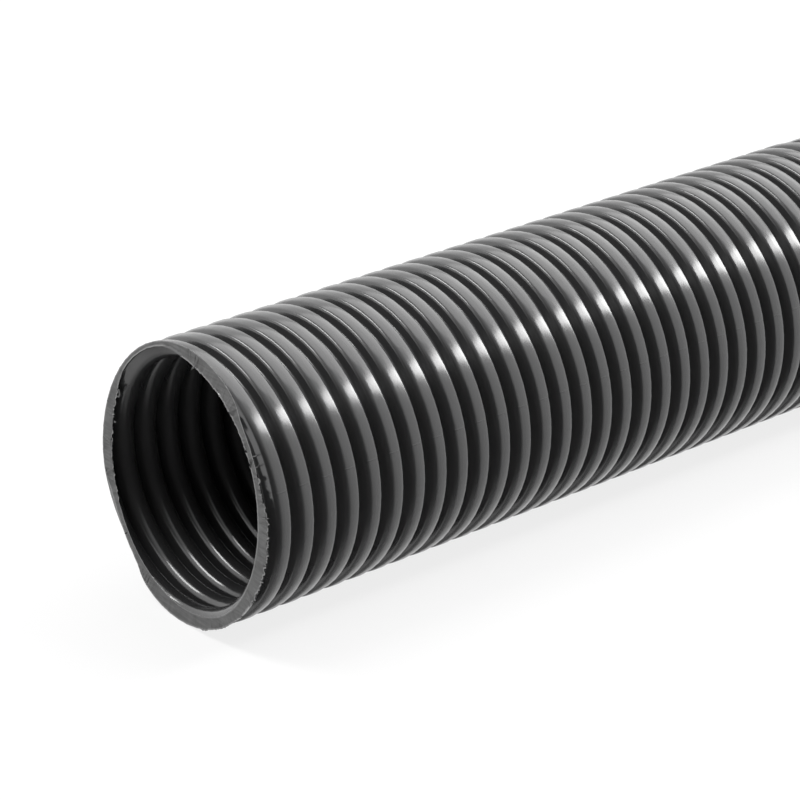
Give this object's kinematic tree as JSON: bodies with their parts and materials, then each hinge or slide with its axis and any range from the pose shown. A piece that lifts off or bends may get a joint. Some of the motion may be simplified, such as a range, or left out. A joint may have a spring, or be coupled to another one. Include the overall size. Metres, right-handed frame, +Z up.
{
  "type": "flexible conduit",
  "caption": "Straight length of ring-corrugated plastic conduit, with broad flat-topped ribs outside and rounded ridges inside, sawn a little askew at one end.",
  "frame": {"origin": "under the middle of the piece, on the surface it lies on", "axes": "+X along the conduit from the sawn end to the square end, +Z up"},
  "size_m": [1, 0.0544, 0.0545],
  "materials": {
    "conduit_plastic": "gloss"
  },
  "bodies": {
    "root": {"conduit": "conduit_plastic"}
  },
  "joints": []
}
